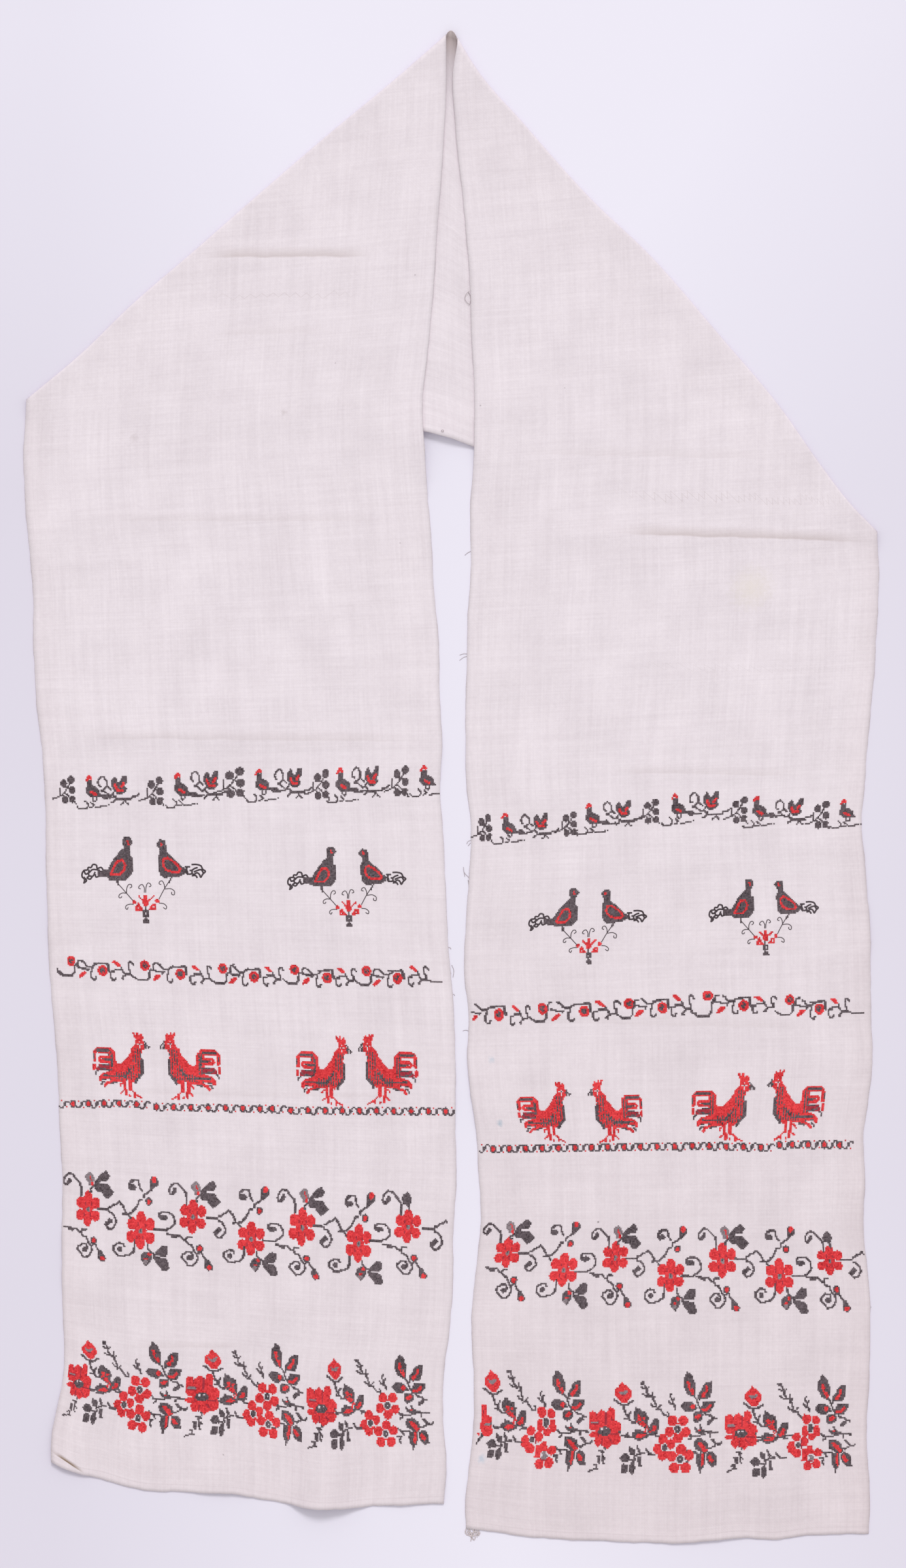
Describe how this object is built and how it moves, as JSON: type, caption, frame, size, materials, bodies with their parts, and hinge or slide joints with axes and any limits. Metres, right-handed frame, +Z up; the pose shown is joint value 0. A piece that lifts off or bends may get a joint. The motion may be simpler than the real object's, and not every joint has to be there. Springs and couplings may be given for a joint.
{
  "type": "embroidered linen ritual towel",
  "caption": "Long linen ritual towel with red and black embroidered ends, folded over a peak and laid out flat as two hanging bands.",
  "frame": {"origin": "the surface the towel lies on, under the middle of its outline", "axes": "+Y along the towel towards the fold's peak, +X to the right of its face, +Z up out of the surface, through the face"},
  "size_m": [0.8438, 1.4928, 0.0146],
  "materials": {
    "linen": "matt hand-woven linen"
  },
  "bodies": {
    "root": {"linen_cloth": "linen"}
  },
  "joints": []
}
